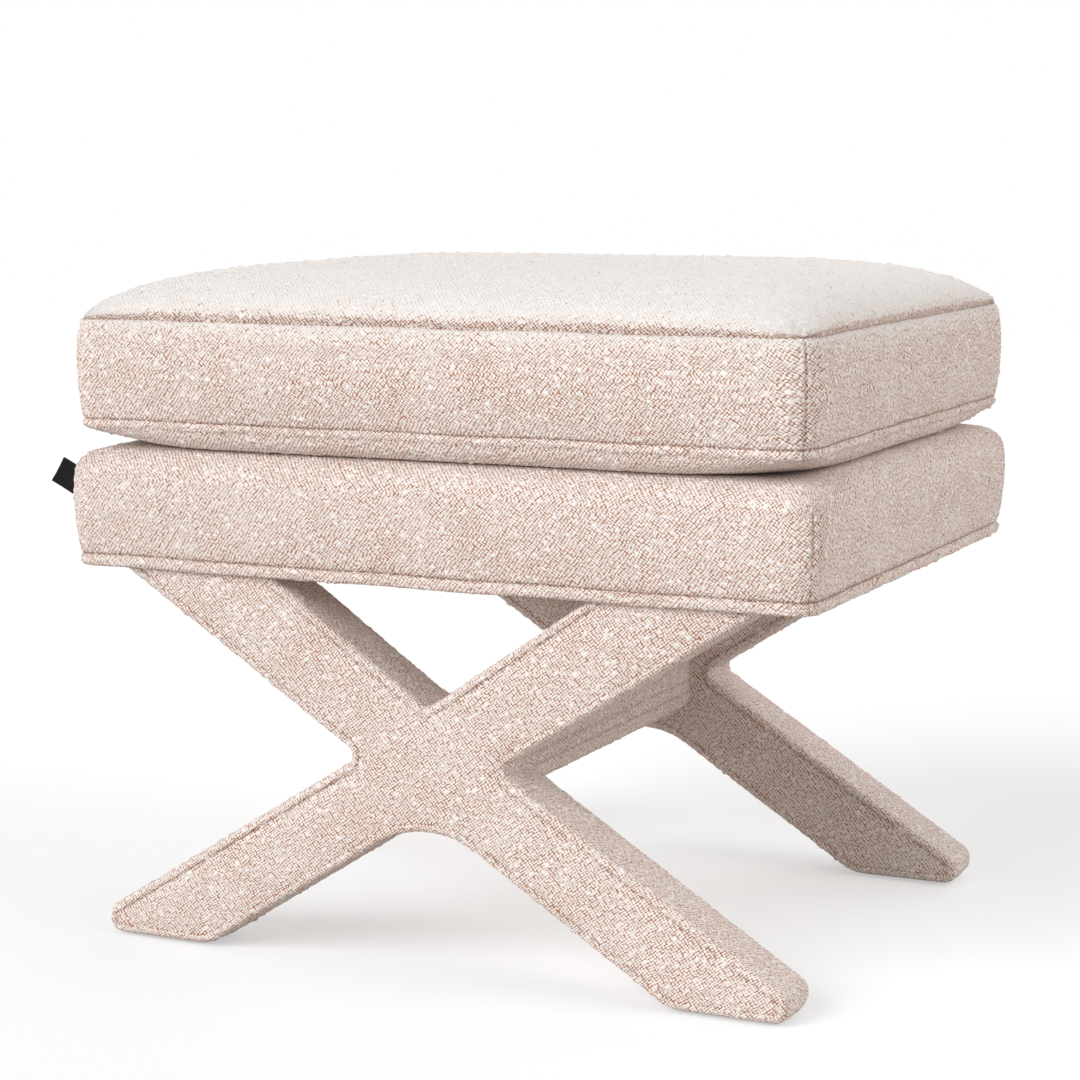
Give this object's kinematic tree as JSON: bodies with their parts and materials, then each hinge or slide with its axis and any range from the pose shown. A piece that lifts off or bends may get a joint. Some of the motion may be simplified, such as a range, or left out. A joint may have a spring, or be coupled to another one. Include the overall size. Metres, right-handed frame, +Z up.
{
  "type": "ottoman",
  "caption": "Low upholstered footstool on crossed padded leg frames, with a boxed platform and a loose zipped cushion.",
  "frame": {"origin": "on the floor, midway between the four glides, below the middle of the seat", "axes": "+Z up; X along the long side of the seat; -Y is the front, where one crossed frame faces; +Y is the rear, with the zip"},
  "size_m": [0.5679, 0.4291, 0.468],
  "materials": {
    "boucle": "matte",
    "zip_tape": "matte",
    "foam": "matte",
    "fibre_wrap": "matte",
    "lining": "matte",
    "tag_ribbon": "satin",
    "timber": "matte",
    "plywood": "matte",
    "steel": "satin",
    "staple_wire": "satin",
    "glide_plastic": "matte",
    "zip_plastic": "satin",
    "zip_metal": "satin"
  },
  "bodies": {
    "base": {"front_rail": "timber", "rear_rail": "timber", "left_rail": "timber", "right_rail": "timber", "corner_blocks": "timber", "deck_board": "plywood", "deck_foam": "foam", "platform_side_padding": "foam", "platform_front_panel": "boucle", "platform_rear_panel": "boucle", "platform_left_panel": "boucle", "platform_right_panel": "boucle", "platform_deck_panel": "boucle", "platform_hem": "boucle", "dust_cover": "lining", "lining_staples": "staple_wire", "side_tag": "tag_ribbon", "arm_bolts": "steel", "arm_bolt_washers": "steel", "arm_inserts": "steel", "stretcher_beam": "timber", "stretcher_padding": "foam", "stretcher_cover": "boucle", "stretcher_bolts": "steel", "stretcher_barrel_nuts": "steel", "foot_glides": "glide_plastic", "glide_nails": "steel", "front_rising_limb": "timber", "front_falling_limb": "timber", "front_cross_padding": "foam", "front_cross_outer_panel": "boucle", "front_cross_inner_panel": "boucle", "front_cross_edge_band": "boucle", "rear_rising_limb": "timber", "rear_falling_limb": "timber", "rear_cross_padding": "foam", "rear_cross_outer_panel": "boucle", "rear_cross_inner_panel": "boucle", "rear_cross_edge_band": "boucle"},
    "cushion": {"cushion_core": "foam", "cushion_wrap": "fibre_wrap", "cushion_top_panel": "boucle", "cushion_bottom_panel": "boucle", "cushion_front_boxing": "boucle", "cushion_rear_boxing": "boucle", "cushion_left_boxing": "boucle", "cushion_right_boxing": "boucle", "zip_tapes": "zip_tape", "zip_teeth": "zip_plastic"},
    "zip_slider": {"zip_slider": "zip_metal"}
  },
  "joints": [
    {"name": "cushion_lift", "type": "slide", "parent": "base", "child": "cushion", "axis": [0, 0, 1], "range_m": [0, 0.25]},
    {"name": "zip_run", "type": "slide", "parent": "cushion", "child": "zip_slider", "axis": [-1, 0, 0], "range_m": [0, 0.4]}
  ]
}
